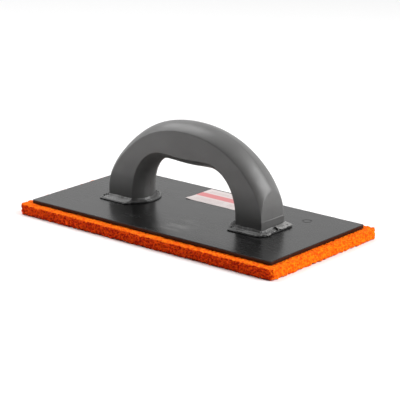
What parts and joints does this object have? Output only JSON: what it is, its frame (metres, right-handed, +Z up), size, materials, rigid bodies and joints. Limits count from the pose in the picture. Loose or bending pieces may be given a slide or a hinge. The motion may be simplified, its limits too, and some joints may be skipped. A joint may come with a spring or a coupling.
{
  "type": "sanding block",
  "caption": "Oblong hand block with a thick coarse orange foam working pad under a thin black plate, and a hollow grey bridge handle welded on top.",
  "frame": {"origin": "on the working face of the pad, under the middle of the pad", "axes": "+X along the block's length, +Y across it away from the user's side, +Z up from the working face to the grip"},
  "size_m": [0.2826, 0.1462, 0.0934],
  "materials": {
    "handle_plastic": "satin moulded grey polystyrene",
    "plate_plastic": "semi-gloss black with fine scratches",
    "foam_rubber": "coarse open-celled orange foam, matt",
    "adhesive": "thin hardened contact adhesive",
    "label_paper": "matt printed paper"
  },
  "bodies": {
    "root": {"base_plate": "plate_plastic", "sponge_pad": "foam_rubber", "adhesive_film": "adhesive", "label": "label_paper", "handle_front_shell": "handle_plastic", "handle_back_shell": "handle_plastic", "left_weld_flash": "handle_plastic", "right_weld_flash": "handle_plastic", "left_melt_rim": "plate_plastic", "right_melt_rim": "plate_plastic", "left_inner_bead": "handle_plastic", "right_inner_bead": "handle_plastic"}
  },
  "joints": []
}
